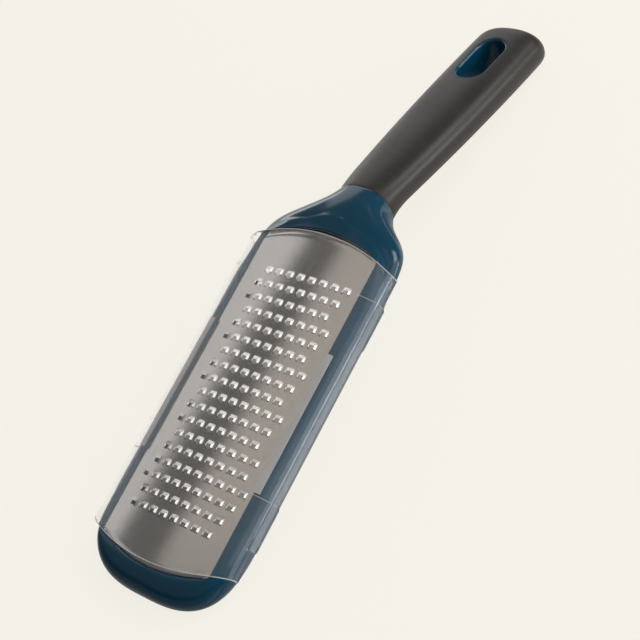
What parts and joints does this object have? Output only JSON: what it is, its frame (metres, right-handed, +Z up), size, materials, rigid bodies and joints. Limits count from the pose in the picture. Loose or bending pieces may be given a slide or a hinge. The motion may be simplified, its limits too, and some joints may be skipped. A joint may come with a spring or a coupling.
{
  "type": "fine grater",
  "caption": "Hand-held fine grater with an arched toothed steel plate in a rounded moulded frame, a soft grip with a hanging hole, and a clear blade guard that lifts off.",
  "frame": {"origin": "middle of the footprint, on the table that the grater lies on", "axes": "+X along the grater from the foot to the tip of the grip, +Y to the left, +Z up"},
  "size_m": [0.2794, 0.0752, 0.0369],
  "materials": {
    "frame_plastic": "glossy moulded plastic, petrol blue",
    "grip_soft": "satin soft-touch elastomer, warm dark grey",
    "plate_steel": "polished stainless sheet with stamped teeth",
    "guard_clear": "clear moulded plastic"
  },
  "bodies": {
    "grater": {"frame": "frame_plastic", "grip": "grip_soft", "grating_plate": "plate_steel"},
    "guard": {"blade_guard": "guard_clear"}
  },
  "joints": [
    {"name": "guard_lift", "type": "slide", "parent": "grater", "child": "guard", "axis": [-0.1604, 0, 0.9871], "range_m": [0, 0.06]}
  ]
}
